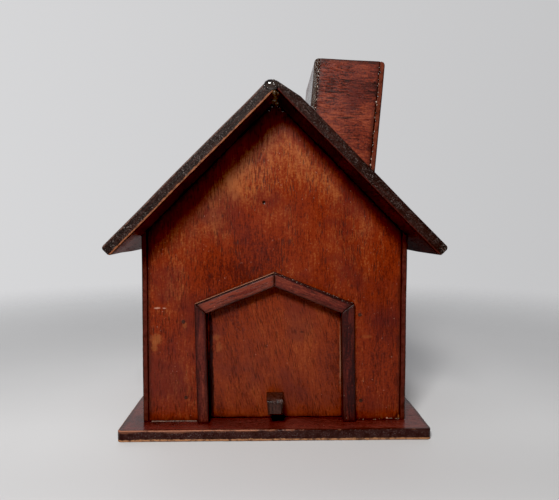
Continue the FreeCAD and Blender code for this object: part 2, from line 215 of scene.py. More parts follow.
def wood_fields(s, seed):
    """The vertex attributes and noises that stain, pores and cut edges share."""
    f = SimpleNamespace()
    f.place = s.attribute("place", "Vector")
    f.grain = s.vector("ADD", s.attribute("grain", "Vector"), (seed, seed * 0.7, 0.0))
    f.rim = s.attribute("rim")
    f.skin = s.attribute("skin")
    f.depth = s.attribute("depth")

    sway = s.noise(s.stretched(f.grain, (16, 45, 45)), detail=2.0)
    sideways = s.tree.nodes.new("ShaderNodeCombineXYZ")
    s.link(s.around(sway, 0.005), sideways.inputs["Y"])
    f.flow = s.vector("ADD", f.grain, sideways.outputs["Vector"])

    f.blotch = s.noise(s.stretched(f.grain, (24, 38, 38)), detail=4.0, roughness=0.45)
    f.haze = s.noise(s.stretched(f.grain, (34, 30, 30)), detail=3.0, roughness=0.6)
    f.streaks = s.noise(s.stretched(f.flow, (22, 230, 230)), detail=4.0, roughness=0.65)
    f.fibres = s.noise(s.stretched(f.flow, (170, 900, 900)), detail=3.0, roughness=0.7)
    hairs = s.noise(s.stretched(f.flow, (210, 2100, 2100)), detail=1.0)
    pore_zone = s.noise(s.stretched(f.flow, (32, 170, 170)), detail=2.0)
    f.pore = s.ramp(s.add(hairs, s.around(pore_zone, 0.4)), 0.56, 0.72)

    f.ragged = s.noise(f.place, scale=420.0, detail=4.0, roughness=0.7)
    f.speck = s.noise(f.place, scale=1900.0, detail=1.0, roughness=0.6)
    f.rubs = s.noise(s.stretched(f.place, (110, 110, 110)), detail=5.0, roughness=0.75)
    f.on_edge = s.times(s.ramp(f.skin, 0.00010, 0.00045), s.ramp(f.rim, 0.0009, 0.0004))
    return f


def stained_face(s, f, tones, cloud_color, patchy, streak, fine, pores, cracks):
    """Colour of a board's face: blotchy stain, streaks along the grain, pores, cracks, and a painted sparkle
    of light on the varnish.
    """
    dark, mid, light = tones
    mottle = s.noise(f.place, scale=900.0, detail=2.0, roughness=0.7)
    tone = s.add(
        0.5,
        s.around(f.blotch, 1.35 * patchy),
        s.around(f.streaks, 0.55 * streak),
        s.around(f.fibres, 1.30 * fine),
        s.around(mottle, 1.05 * fine),
        s.attribute("tint"),
    )
    color = s.mix(s.ramp(tone, 0.05, 0.52), dark, mid)
    color = s.mix(s.ramp(tone, 0.48, 1.05), color, light)
    color = s.mix(s.ramp(f.haze, 0.47, 0.66, 0.0, CLOUD_STRENGTH), color, cloud_color)
    color = s.mix(s.times(f.pore, pores), color, GRIME)
    if cracks:
        waves = s.noise(s.stretched(f.flow, (15, 170, 170)), detail=3.0, roughness=0.6)
        crack = s.ramp(s.math("ABSOLUTE", s.math("SUBTRACT", waves, 0.5)), 0.014, 0.003)
        crack = s.times(crack, s.ramp(f.haze, 0.42, 0.56))
        color = s.mix(s.times(crack, cracks), color, GRIME)
    # Painted highlight: sparse pale dots that stand in for glints of light on the varnish.
    painted_sparkle = s.noise(f.place, scale=800.0, detail=1.0, roughness=0.8)
    return s.mix(s.ramp(painted_sparkle, 0.745, 0.80, 0.0, 0.5), color, PALE_SCAR)


def rim_grime(s, f, color):
    """Grime that creeps in from a board's outline, with a dark line right on it."""
    creep = s.noise(s.stretched(f.grain, (80, 80, 80)), detail=3.0)
    reach = s.add(f.rim, s.around(creep, 0.004))
    color = s.mix(s.ramp(reach, 0.0, 0.0030, 0.62, 0.0), color, GRIME)
    return s.mix(s.ramp(f.rim, 0.0002, 0.0008, 0.75, 0.0), color, GRIME)


def paint_marks(s, f, color, marks):
    """Ragged spots, each (across, height, half width, half height, strength, colour)."""
    for across, height, half_width, half_height, strength, mark_color in marks:
        spot = s.vector("SUBTRACT", f.place, (across, 0.0, height))
        spot = s.vector("MULTIPLY", spot, (1.0 / half_width, 0.0, 1.0 / half_height))
        distance = s.add(s.vector("LENGTH", spot), s.around(f.ragged, 2.2))
        color = s.mix(s.ramp(distance, 1.25, 0.55, 0.0, strength), color, mark_color)
    return color


def cut_edge(s, f, edge, edge_speck_and_glint, speckled, plies):
    """Colour of a cut edge: dark rough plies with bright specks, partly the wood's own and partly painted
    glints of light, and bands of other plies.
    """
    grit = s.noise(f.place, scale=330.0, detail=3.0, roughness=0.6)
    layers = s.noise(s.stretched(f.grain, (70, 70, 1700)), detail=3.0, roughness=0.6)
    clusters = s.ramp(grit, 0.60, 0.44, 0.3 * speckled, speckled)
    # Painted highlight: the bright specks, in clusters, stand in for glints of light on the rough edge.
    glint = s.times(s.ramp(f.speck, 0.54, 0.70), clusters)
    glint = s.times(glint, s.ramp(layers, 0.60, 0.42, 0.35, 1.0))
    color = s.mix(s.ramp(layers, 0.48, 0.64, 0.0, 0.8 * speckled), edge, DARK_LAYER)
    color = s.mix(glint, color, edge_speck_and_glint)
    color = s.mix(s.ramp(grit, 0.42, 0.70, 0.0, 0.55), color, GRIME)
    layer = s.add(f.depth, s.around(grit, 0.0010), s.around(f.rubs, 0.0012))
    for start, stop, strength, ply_color in plies:
        above = s.ramp(layer, start - 0.0001, start + 0.0001)
        inside = s.times(above, s.ramp(layer, stop + 0.0002, stop))
        frayed = s.ramp(f.ragged, 0.36, 0.54, 0.25, strength)
        color = s.mix(s.times(inside, frayed), color, ply_color)
    return color


def rubbed_arris(s, f, rub_width):
    """How far the stain is rubbed off along the arrises, from 0 to 1."""
    arris = s.math("MAXIMUM", f.rim, f.skin)
    near_arris = s.ramp(arris, rub_width * 1.5, rub_width * 0.7)
    rub = s.math("SUBTRACT", s.add(f.rubs, s.attribute("wear")), 0.5)
    return s.times(near_arris, s.ramp(rub, 0.40, 0.62))


def stained_plywood(
    name,
    dark,
    mid,
    light,
    cloud_color,
    patchy=1.0,
    streak=1.0,
    fine=1.0,
    pores=0.6,
    cracks=0.0,
    relief=0.6,
    gloss=0.36,
    specular=0.25,
    inner_shine=1.0,
    rub_color=BARE_WOOD,
    rub_width=0.5 * MM,
    edge=(0.0110, 0.0076, 0.0066),
    edge_speck_and_glint=(0.125, 0.095, 0.086),
    speckled=1.0,
    plies=(),
    marks=(),
    seed=0.0,
):
    """Stained and varnished plywood, with dark cut edges and rubbed arrises.

    Its vertex attributes say where it is dark or light (tint) and rubbed (wear), how far a point is from
    the board's outline (rim) and from its faces (skin), and how deep it lies in the board (depth).
    plies are (from, to, strength, colour) bands of that depth on the cut edges, and inner_shine is the
    share of the gloss on the face at depth 0.
    """
    s = Shader(name)
    f = wood_fields(s, seed)
    color = stained_face(s, f, (dark, mid, light), cloud_color, patchy, streak, fine, pores, cracks)
    color = paint_marks(s, f, rim_grime(s, f, color), marks)
    color = s.mix(f.on_edge, color, cut_edge(s, f, edge, edge_speck_and_glint, speckled, plies))
    rubbed = rubbed_arris(s, f, rub_width)
    color = s.mix(s.times(rubbed, 0.9), color, rub_color)

    sparkle = s.times(f.on_edge, s.ramp(f.speck, 0.48, 0.66))
    roughness = s.add(
        s.ramp(f.blotch, 0.3, 0.7, gloss - 0.05, gloss + 0.08),
        s.times(f.pore, 0.15),
        s.times(rubbed, 0.15),
        s.times(sparkle, -0.10),
    )
    height = s.add(s.times(f.fibres, 0.5), s.times(f.streaks, 0.5), s.times(f.pore, -0.9))
    normal = s.bump(height, 0.00016, relief)
    normal = s.bump(s.times(f.speck, f.on_edge), 0.0004, 0.5 * speckled, normal)
    shine = s.ramp(f.on_edge, 0.0, 1.0, specular, specular * 0.3)
    shine = s.times(shine, s.ramp(f.depth, 0.0, 0.0008, inner_shine, 1.0))
    return s.finish(color, roughness, normal, shine)


def plain_wood(name, low, high):
    """Bare wood of the parts inside, with soft lengthwise grain."""
    s = Shader(name)
    grain = s.attribute("grain", "Vector")
    streak = s.noise(s.stretched(grain, (10, 260, 260)), detail=4.0, roughness=0.6)
    fibre = s.noise(s.stretched(grain, (80, 1800, 1800)), detail=2.0)
    tone = s.add(s.times(streak, 0.7), s.times(fibre, 0.3))
    color = s.mix(s.ramp(tone, 0.3, 0.7), low, high)
    return s.finish(color, 0.72, s.bump(fibre, 0.0001, 0.5), specular=0.3)


def varnish(name, color, roughness, depth=0.5):
    """Beads of varnish and glue that ran out of a joint and set hard."""
    s = Shader(name)
    place = s.attribute("place", "Vector")
    cloud = s.noise(place, scale=500.0, detail=3.0)
    shade = s.mix(s.ramp(cloud, 0.35, 0.7), color, tuple(c * depth for c in color))
    return s.finish(shade, roughness, s.bump(cloud, 0.0003, 0.6), specular=0.6)


def whittled_wood():
    """Whittled peg, stained almost black, with worn brown facets under a thick varnish."""
    s = Shader("knob_wood")
    place = s.attribute("place", "Vector")
    grain = s.noise(s.stretched(place, (1400, 500, 500)), detail=4.0, roughness=0.7)
    cloud = s.noise(place, scale=330.0, detail=3.0)
    color = s.mix(s.ramp(grain, 0.35, 0.7), (0.012, 0.0050, 0.0040), (0.054, 0.019, 0.013))
    color = s.mix(s.ramp(cloud, 0.48, 0.72, 0.0, 0.5), color, (0.085, 0.034, 0.026))
    roughness = s.ramp(cloud, 0.3, 0.7, 0.12, 0.27)
    return s.finish(color, roughness, s.bump(grain, 0.0005, 0.8), specular=0.26)


def old_steel():
    """Pin heads, browned by age and stain."""
    s = Shader("pin_steel")
    place = s.attribute("place", "Vector")
    rust = s.noise(place, scale=1500.0, detail=4.0, roughness=0.7)
    color = s.mix(s.ramp(rust, 0.4, 0.65), (0.026, 0.008, 0.005), (0.070, 0.020, 0.010))
    s.bsdf.inputs["Metallic"].default_value = 0.3
    return s.finish(color, s.ramp(rust, 0.35, 0.7, 0.4, 0.7), s.bump(rust, 0.0001, 0.5), specular=0.3)


# --- mesh helpers ---


def welded_cad(node):
    """The CAD node's mesh with its flat areas joined into single faces."""
    bm = bmesh.new()
    bm.from_mesh(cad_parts[node].data)
    bmesh.ops.remove_doubles(bm, verts=bm.verts, dist=1e-6)
    bmesh.ops.dissolve_limit(bm, angle_limit=math.radians(0.5), verts=bm.verts, edges=bm.edges)
    bm.normal_update()
    return bm


def outline_of(bm, thick):
    """The edges between a board's faces and its cut sides, as pairs of points."""
    segments = []
    for edge in bm.edges:
        if len(edge.link_faces) == 2:
            level = sorted(abs(f.normal.dot(thick)) for f in edge.link_faces)
            if level[0] < 0.5 < level[1]:
                segments.append((edge.verts[0].co.copy(), edge.verts[1].co.copy()))
    return segments


def flat_distance(point, segment, thick):
    """Distance from a point to a segment, seen along the thickness."""
    first = segment[0] - thick * segment[0].dot(thick)
    second = segment[1] - thick * segment[1].dot(thick)
    spot = point - thick * point.dot(thick)
    run = second - first
    share = max(0.0, min(1.0, (spot - first).dot(run) / max(run.length_squared, 1e-12)))
    return (first + run * share - spot).length


def slice_along(bm, axis, places):
    """Cuts new edge loops into a mesh where planes across an axis meet it."""
    for place in places:
        geometry = bm.verts[:] + bm.edges[:] + bm.faces[:]
        bmesh.ops.bisect_plane(bm, geom=geometry, dist=1e-6, plane_co=axis * place, plane_no=axis)


def even_places(bm, axis, step):
    reach = [v.co.dot(axis) for v in bm.verts]
    low, high = min(reach), max(reach)
    count = int((high - low) / step)
    return [low + (high - low) * k / (count + 1) for k in range(1, count + 1)]


def bevel(bm, edges, width, segments):
    bmesh.ops.bevel(
        bm, geom=edges, offset=width, offset_type="OFFSET", segments=segments, profile=0.5,
        affect="EDGES", clamp_overlap=True,
    )


def wander(point, wave, seed):
    """A smooth random direction field, about one long at its peaks."""
    return noise.noise_vector(point / wave + Vector((seed, seed * 1.7, -seed)))


def store(mesh, name, values, kind="FLOAT"):
    data = mesh.attributes.new(name, kind, "POINT").data
    flat = values if kind == "FLOAT" else [x for value in values for x in value]
    data.foreach_set("value" if kind == "FLOAT" else "vector", flat)


def store_place(mesh):
    """Each vertex's place in the frame, as the materials read it."""
    store(mesh, "place", [tuple(v.co) for v in mesh.vertices], "FLOAT_VECTOR")


def into_mesh(bm, name):
    mesh = bpy.data.meshes.new(name)
    bm.to_mesh(mesh)
    bm.free()
    return mesh


def make_object(name, mesh, material):
    piece = bpy.data.objects.new(name, mesh)
    bpy.context.scene.collection.objects.link(piece)
    mesh.materials.append(material)
    mesh.shade_smooth()
    return piece


def nothing(spot):
    return 0.0


def unworn(spot):
    """A wear value low enough that no arris is rubbed."""
    return -0.5


def board(
    node,
    thick,
    grain,
    material,
    seed,
    body="house",
    round_off=0.5 * MM,
    wobble=0.16 * MM,
    step=4.0 * MM,
    tint=nothing,
    wear=nothing,
    soft_corners=(),
    extra_cuts=(),
    reshape=None,
):
    """A visible board: the CAD board with worn round arrises, slightly uneven faces and wood attributes.

    soft_corners holds (test, radius) pairs for edges that are rounded more than the rest. tint, wear
    and reshape are functions of a point on the board.
    """
    thick, grain = Vector(thick).normalized(), Vector(grain).normalized()
    across = thick.cross(grain)
    centre = middle(node)
    bm = welded_cad(node)
    outline = outline_of(bm, thick)
    depths = [v.co.dot(thick) for v in bm.verts]
    near, far = min(depths), max(depths)
    for test, radius in soft_corners:
        chosen = [e for e in bm.edges if test((e.verts[0].co + e.verts[1].co) / 2, e)]
        bevel(bm, chosen, radius, 4)
    sharp = [e for e in bm.edges if len(e.link_faces) == 2 and e.calc_face_angle(0.0) > 0.6]
    bevel(bm, sharp, round_off, 3)
    for axis in (grain, across):
        slice_along(bm, axis, even_places(bm, axis, step))
    for axis, places in extra_cuts:
        slice_along(bm, axis, places)
    bmesh.ops.triangulate(bm, faces=[f for f in bm.faces if len(f.verts) > 4])

    attributes = {"tint": [], "wear": [], "depth": [], "rim": [], "skin": [], "grain": [], "place": []}
    for vert in bm.verts:
        spot = vert.co.copy()
        offset = spot - centre
        depth = spot.dot(thick) - near
        inset = min(flat_distance(spot, segment, thick) for segment in outline)
        flow = (offset.dot(grain) + seed * 0.31, offset.dot(across) + seed * 0.17, offset.dot(thick))
        attributes["grain"].append(flow)
        attributes["place"].append(tuple(spot))
        attributes["rim"].append(inset)
        attributes["depth"].append(depth)
        attributes["skin"].append(max(0.0, min(depth, far - near - depth)))
        attributes["tint"].append(tint(spot))
        attributes["wear"].append(wear(spot))
        vert.co += wander(spot, 26 * MM, seed) * wobble
        if reshape:
            vert.co += reshape(spot)
    mesh = into_mesh(bm, node + "_wood")
    for name, values in attributes.items():
        store(mesh, name, values, "FLOAT_VECTOR" if name in ("grain", "place") else "FLOAT")
    piece = make_object(node + "_wood", mesh, material)
    piece.modifiers.new("even_normals", "WEIGHTED_NORMAL").keep_sharp = False
    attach(piece, body)
    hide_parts(node)
    return piece


def lumps(name, spots, material, seed, body="house"):
    """Small hardened drops: (centre, radii) pairs become bumpy balls in one mesh."""
    rng = random.Random(seed)
    bm = bmesh.new()
    for centre, radii in spots:
        ball = bmesh.ops.create_icosphere(bm, subdivisions=2, radius=1.0)["verts"]
        shift = Vector((rng.uniform(0, 50), rng.uniform(0, 50), rng.uniform(0, 50)))
        for vert in ball:
            bump = 1.0 + 0.28 * noise.noise(vert.co * 1.3 + shift)
            vert.co = Vector(centre) + Vector(vert.co[k] * radii[k] * bump for k in range(3))
    mesh = into_mesh(bm, name)
    store_place(mesh)
    piece = make_object(name, mesh, material)
    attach(piece, body)
    return piece


def along(start, end, count, sizes, rng, stray=0.0):
    """Drops of changing size along a joint, as (centre, radii) pairs."""
    drops = []
    for k in range(count):
        share = (k + rng.uniform(0.2, 0.8)) / count
        size = rng.uniform(*sizes)
        drift = Vector((rng.uniform(-stray, stray), 0, rng.uniform(-stray, stray)))
        radii = (size, size * 0.8, size * rng.uniform(1.0, 2.4))
        drops.append((start.lerp(end, share) + drift, radii))
    return drops


# --- the materials in use ---

WALL_TONES = dict(
    dark=(0.062, 0.0075, 0.0040),
    mid=(0.152, 0.0178, 0.0050),
    light=(0.280, 0.0760, 0.0215),
    cloud_color=(0.082, 0.0110, 0.0080),
    patchy=0.45,
    streak=0.7,
    fine=0.80,
    pores=0.66,
    gloss=0.31,
    specular=0.17,
)
# Clouds in the stain of the front wall: across, height, radius, lighter or darker.
WALL_CLOUDS = [
    (-0.0141, 0.1094, 0.009, -0.24),
    (0.0154, 0.1239, 0.009, -0.22),
    (-0.0034, 0.0949, 0.010, -0.24),
    (-0.0216, 0.0890, 0.009, -0.16),
    (-0.0335, 0.0809, 0.008, -0.12),
    (-0.0082, 0.1478, 0.008, -0.08),
    (-0.0214, 0.1313, 0.010, 0.24),
    (-0.0168, 0.1185, 0.007, -0.12),
    (-0.0306, 0.1131, 0.008, 0.16),
    (-0.0536, 0.1045, 0.011, 0.16),
    (-0.0560, 0.0750, 0.013, 0.12),
    (0.0287, 0.1347, 0.009, 0.06),
    (0.0500, 0.0950, 0.014, 0.08),
    (0.0620, 0.0600, 0.008, -0.26),
    (0.0560, 0.0450, 0.012, -0.10),
    (-0.0430, 0.0650, 0.008, -0.12),
    (0.0060, 0.1040, 0.013, -0.12),
    (-0.0100, 0.0860, 0.014, -0.10),
    (-0.0540, 0.0260, 0.014, 0.10),
]
WORN_STAIN = (0.27, 0.080, 0.026)
# Marks on the front: across, height, half width, half height, strength, colour.
WALL_MARKS = [
    (-0.0642, 0.0512, 0.0034, 0.0028, 0.60, BARE_WOOD),
    (-0.0650, 0.0472, 0.0018, 0.0034, 0.50, BARE_WOOD),
    (-0.0240, 0.1350, 0.0016, 0.0046, 0.45, WORN_STAIN),
    (-0.0218, 0.1275, 0.0013, 0.0026, 0.35, WORN_STAIN),
    (-0.0632, 0.0679, 0.0015, 0.0004, 0.80, PALE_SCAR),
    (-0.0596, 0.0678, 0.0010, 0.0003, 0.80, PALE_SCAR),
    (-0.0486, 0.0585, 0.0010, 0.0016, 0.35, BARE_WOOD),
    (0.0495, 0.0521, 0.0034, 0.0009, 0.25, BARE_WOOD),
    (0.0682, 0.0079, 0.0008, 0.0009, 0.80, BARE_WOOD),
    (0.0616, 0.0069, 0.0005, 0.0005, 0.90, PALE_SCAR),
    (-0.0061, 0.1247, 0.0009, 0.0009, 1.00, GRIME),
]
# Marks on the door: painted shadow in the corner beside the left jamb, a bare line beside the right one,
# wear.
DOOR_MARKS = [
    # Painted shadow: the three dark marks beside the left jamb stand in for the jamb's shadow on the door.
    (door_left + 0.1 * MM, 0.0400, 0.0008, 0.0600, 0.97, (0.008, 0.001, 0.001)),
    (door_left + 0.9 * MM, 0.0300, 0.0008, 0.0450, 0.95, (0.008, 0.001, 0.001)),
    (door_left + 1.5 * MM, 0.0150, 0.0007, 0.0220, 0.85, (0.012, 0.002, 0.001)),
    (door_right + 0.5 * MM, 0.0435, 0.0005, 0.0200, 0.70, (0.24, 0.115, 0.068)),
    (-0.0318, 0.0512, 0.0020, 0.0018, 0.35, BARE_WOOD),
    (-0.0308, 0.0462, 0.0018, 0.0030, 0.35, BARE_WOOD),
    (0.0148, 0.0540, 0.0010, 0.0007, 0.60, GRIME),
    (0.0159, 0.0690, 0.0004, 0.0026, 0.60, GRIME),
]

wall_ply = stained_plywood("wall_plywood", **WALL_TONES, marks=WALL_MARKS)
side_ply = stained_plywood(
    "side_plywood",
    **WALL_TONES,
    seed=0.4,
    edge=(0.078, 0.016, 0.011),
    edge_speck_and_glint=(0.11, 0.030, 0.020),
    speckled=0.4,
    plies=(
        (2.4 * MM, 5.0 * MM, 0.85, (0.030, 0.014, 0.009)),
        (-1.0 * MM, 0.35 * MM, 0.90, (0.016, 0.002, 0.001)),
    ),
)
ROOF_TONES = dict(
    dark=(0.030, 0.0040, 0.0026),
    mid=(0.088, 0.0100, 0.0044),
    light=(0.160, 0.0240, 0.0080),
    cloud_color=(0.050, 0.0070, 0.0050),
    rub_color=(0.23, 0.080, 0.030),
)
roof_left_ply = stained_plywood(
    "roof_left_plywood",
    **ROOF_TONES,
    specular=0.22,
    inner_shine=0.25,
    seed=0.9,
    plies=(
        (-1.0 * MM, 0.95 * MM, 0.90, (0.24, 0.085, 0.040)),
        (5.30 * MM, 7.0 * MM, 0.90, (0.13, 0.066, 0.050)),
    ),
)
roof_right_ply = stained_plywood(
    "roof_right_plywood",
    **ROOF_TONES,
    gloss=0.42,
    specular=0.07,
    inner_shine=0.12,
    seed=1.1,
    plies=((-1.0 * MM, 0.9 * MM, 0.9, (0.050, 0.011, 0.009)),),
)
base_ply = stained_plywood(
    "base_plywood",
    dark=(0.030, 0.0050, 0.0036),
    mid=(0.098, 0.0160, 0.0120),
    light=(0.165, 0.0340, 0.0230),
    cloud_color=(0.070, 0.0120, 0.0095),
    gloss=0.20,
    relief=0.25,
    seed=1.4,
    edge=(0.030, 0.010, 0.009),
    # The pale rub colour on the top front arris is partly real wear and partly a painted highlight.
    rub_color=(0.37, 0.145, 0.080),
    rub_width=0.38 * MM,
    plies=((-1.0 * MM, 1.20 * MM, 1.00, (0.36, 0.170, 0.082)),),
)
CHIMNEY_TONES = dict(
    dark=(0.034, 0.0080, 0.0060),
    mid=(0.127, 0.0200, 0.0105),
    light=(0.222, 0.0450, 0.0185),
    cloud_color=(0.075, 0.0150, 0.0120),
    fine=1.70,
    streak=1.5,
    pores=0.15,
    cracks=0.9,
    relief=1.0,
)
# Cracks and dark spots on the chimney's front.
CHIMNEY_MARKS = [
    (0.0346, 0.1891, 0.0068, 0.0005, 0.85, GRIME),
    (0.0317, 0.1857, 0.0050, 0.0005, 0.75, GRIME),
    (0.0405, 0.1744, 0.0060, 0.0006, 0.80, GRIME),
    (0.0480, 0.1765, 0.0040, 0.0004, 0.60, GRIME),
    (0.0576, 0.1944, 0.0010, 0.0012, 0.90, GRIME),
]
chimney_ply = stained_plywood(
    "chimney_plywood", **CHIMNEY_TONES, marks=CHIMNEY_MARKS, specular=0.17, seed=2.1
)
chimney_left_ply = stained_plywood(
    "chimney_left_plywood",
    **CHIMNEY_TONES,
    seed=2.4,
    gloss=0.16,
    specular=0.50,
    edge=(0.050, 0.033, 0.024),
    edge_speck_and_glint=(0.15, 0.12, 0.10),
    plies=((2.5 * MM, 5.0 * MM, 0.8, (0.095, 0.026, 0.018)),),
)
chimney_right_ply = stained_plywood(
    "chimney_right_plywood",
    **CHIMNEY_TONES,
    seed=2.6,
    specular=0.17,
    edge=(0.130, 0.030, 0.016),
    edge_speck_and_glint=(0.19, 0.060, 0.032),
    speckled=0.5,
    plies=((2.3 * MM, 5.0 * MM, 0.85, (0.030, 0.009, 0.006)),),
)
TRIM_TONES = dict(
    dark=(0.024, 0.0060, 0.0062),
    mid=(0.078, 0.0122, 0.0088),
    light=(0.155, 0.0300, 0.0170),
    cloud_color=(0.060, 0.0115, 0.0110),
    patchy=0.7,
    streak=4.0,
    fine=1.1,
    gloss=0.38,
    specular=0.17,
    edge=(0.050, 0.011, 0.009),
    edge_speck_and_glint=(0.09, 0.03, 0.022),
    speckled=0.4,
    rub_color=(0.30, 0.12, 0.065),
    rub_width=0.30 * MM,
)
trim_stain = stained_plywood("trim_wood", **TRIM_TONES, seed=2.9)
door_ply = stained_plywood(
    "door_plywood",
    dark=(0.066, 0.0090, 0.0045),
    mid=(0.154, 0.0215, 0.0060),
    light=(0.245, 0.0500, 0.0130),
    cloud_color=(0.090, 0.0135, 0.0085),
    patchy=0.8,
    fine=0.8,
    gloss=0.32,
    specular=0.20,
    seed=3.3,
    marks=DOOR_MARKS,
    edge=(0.03, 0.008, 0.005),
)
inner_wood = plain_wood("inner_wood", (0.30, 0.17, 0.08), (0.50, 0.33, 0.18))
dark_varnish = varnish("dark_varnish", (0.022, 0.010, 0.008), 0.16)
ridge_varnish = varnish("ridge_varnish", (0.030, 0.022, 0.019), 0.15, depth=0.15)
amber_glue = varnish("amber_glue", (0.075, 0.038, 0.014), 0.3)
pale_glue = varnish("pale_glue", (0.26, 0.15, 0.11), 0.4, depth=0.3)
bead_varnish = varnish("bead_varnish", (0.34, 0.24, 0.19), 0.2, depth=0.35)
peg_wood = whittled_wood()
steel = old_steel()


# --- walls and base ---


def wall_tint(spot):
    """Lighter towards the gable than at the foot of the walls."""
    share = (spot.z - base_top) / (gable_top - base_top)
    return -0.04 + 0.36 * smooth_step(share, 0.42, 0.92)


def front_tint(spot):
    """The front's clouds of stain, and painted shade along the strip just under the roof, where the roof's
    shade falls.
    """
    clouds = 0.0
    for across, height, radius, amount in WALL_CLOUDS:
        away = math.hypot(spot.x - across, spot.z - height) / radius
        clouds += amount * math.exp(-away * away)
    # Painted shade: darker within about a centimetre under the roof's underside.
    under_roof = (gable_top - abs(spot.x) - spot.z) * math.sqrt(0.5)
    painted_roof_shade = 0.55 * (1.0 - smooth_step(under_roof, 2 * MM, 11 * MM))
    return wall_tint(spot) + clouds - painted_roof_shade


NAIL_HOLE_LEFT = 6.1 * MM
NAIL_HOLE_BELOW_GABLE = 53.6 * MM
PIN_DIMPLE = (1.6 * MM, 0.24 * MM)
NAIL_DIMPLE = (0.9 * MM, 0.35 * MM)


def pin_heads():
    """Centres of the guide pins' heads, read from the CAD pins."""
    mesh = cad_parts["guide_pins"].data
    front = min(v.co.y for v in mesh.vertices)
    rim_points = [v.co for v in mesh.vertices if v.co.y < front + 0.01 * MM]
    centres = []
    for side in (-1, 1):
        points = [p for p in rim_points if p.x * side > 0]
        split = (min(p.z for p in points) + max(p.z for p in points)) / 2
        for half in (-1, 1):
            group = [p for p in points if (p.z - split) * half > 0]
            low = Vector([min(p[k] for p in group) for k in range(3)])
            high = Vector([max(p[k] for p in group) for k in range(3)])
            centres.append((low + high) / 2)
    return centres


def make_walls():
    front_face = wall_low.y
    nail_hole = Vector((-NAIL_HOLE_LEFT, front_face, gable_top - NAIL_HOLE_BELOW_GABLE))
    dimples = [(head, *PIN_DIMPLE) for head in pin_heads()]
    dimples.append((nail_hole, *NAIL_DIMPLE))

    def press(spot):
        """Dimples round the pin heads and one empty nail hole."""
        if spot.y > front_face + 0.8 * MM:
            return Vector()
        sunk = 0.0
        for centre, radius, deep in dimples:
            away = math.hypot(spot.x - centre.x, spot.z - centre.z)
            sunk = max(sunk, deep * (1.0 - smooth_step(away, 0.3 * radius, radius)))
        return BACK * sunk

    rings = (-1.9, -1.2, -0.6, 0.0, 0.6, 1.2, 1.9)
    cuts_x = [centre.x + ring * MM for centre, _, _ in dimples for ring in rings]
    cuts_z = [centre.z + ring * MM for centre, _, _ in dimples for ring in rings]

    def front_wear(spot):
        """Rubbed at the foot of the left corner and beside the upper half of the right jamb."""
        if spot.x < -66 * MM and 9 * MM < spot.z < 23 * MM:
            return 0.35
        if abs(spot.x - 36 * MM) < 3 * MM and 38 * MM < spot.z < 66 * MM:
            return 0.30
        return unworn(spot)

    board(
        "front_wall", BACK, UP, wall_ply, seed=1.0, wobble=0.10 * MM, tint=front_tint,
        wear=front_wear, extra_cuts=((RIGHT, cuts_x), (UP, cuts_z)), reshape=press,
    )
    board("back_wall", BACK, UP, side_ply, seed=2.0, tint=wall_tint, wear=unworn)
    for seed, (node, side) in enumerate((("left_wall", -1), ("right_wall", 1)), start=3):
        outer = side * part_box(node)[1 if side > 0 else 0].x

        def outer_wear(spot):
            """Rubbed on the outer arrises only, and more on the right."""
            if side * spot.x <= outer - 1.0 * MM:
                return unworn(spot)
            return 0.02 if side > 0 else -0.10

        board(
            node, (side, 0, 0), UP, side_ply, seed=seed, tint=wall_tint,
            wear=outer_wear,
        )


def make_base():
    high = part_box("base_board")[1]

    def wear(spot):
        """Only the upper arrises are rubbed, and less towards the right; the pale line on the top front
        arris is partly a painted highlight.
        """
        fade = smooth_step(spot.x, -50 * MM, 40 * MM)
        return 0.64 - 0.26 * fade if spot.z > high.z - 1.5 * MM else unworn(spot)

    def tint(spot):
        """Painted shade: the top is darker close to the walls, where they shade it."""
        away = max(wall_low.y - spot.y, spot.y - wall_high.y, abs(spot.x) - wall_high.x)
        # Painted shade: darker by the walls, lighter further from them.
        return -0.20 + 0.42 * smooth_step(away, 0.0, 11 * MM)

    board(
        "base_board", UP, RIGHT, base_ply, seed=5.0, round_off=0.45 * MM, tint=tint,
        wear=wear, wobble=0.2 * MM,
    )


# --- roof ---


def lengthwise(edge):
    """Does an edge run from front to back?"""
    return abs((edge.verts[0].co - edge.verts[1].co).normalized().y) > 0.9


def make_roof():
    plans = (("left_roof_board", -1, roof_left_ply), ("right_roof_board", 1, roof_right_ply))
    for seed, (node, side, material) in enumerate(plans, start=6):
        thick = Vector((side, 0, 1)).normalized()
        inner = extreme(node, -thick).dot(thick)
        eave = abs(extreme(node, (side, 0, 0)).x)

        def eave_corner(spot, edge):
            return lengthwise(edge) and abs(spot.x) > eave - 6 * MM

        def ridge_corner(spot, edge):
            return lengthwise(edge) and 1 * MM < side * spot.x < 14 * MM and spot.z > gable_top + 0.5 * MM

        def wear(spot):
            """The arrises are rubbed in places, most of all below on the left."""
            if side > 0:
                return -0.20
            return 0.36 if spot.dot(thick) < inner + 1.5 * MM else 0.10

        def tint(spot):
            """Painted shade on the undersides, except that the left eave's underside beyond the wall is
            painted lighter, a painted reflection.
            """
            if spot.dot(thick) > inner + 1.0 * MM:
                return 0.05
            # Painted reflection: the left eave's underside outside the wall is lighter; painted shade: the
            # rest of the underside is darker.
            painted_eave_reflection = 1.10 * smooth_step(-spot.x, wall_high.x, wall_high.x + 4 * MM)
            return painted_eave_reflection - 0.30

        board(
            node, thick, BACK, material, seed=seed, round_off=0.6 * MM,
            wobble=0.25 * MM, tint=tint, wear=wear,
            soft_corners=((eave_corner, 1.6 * MM), (ridge_corner, 2.6 * MM)),
        )


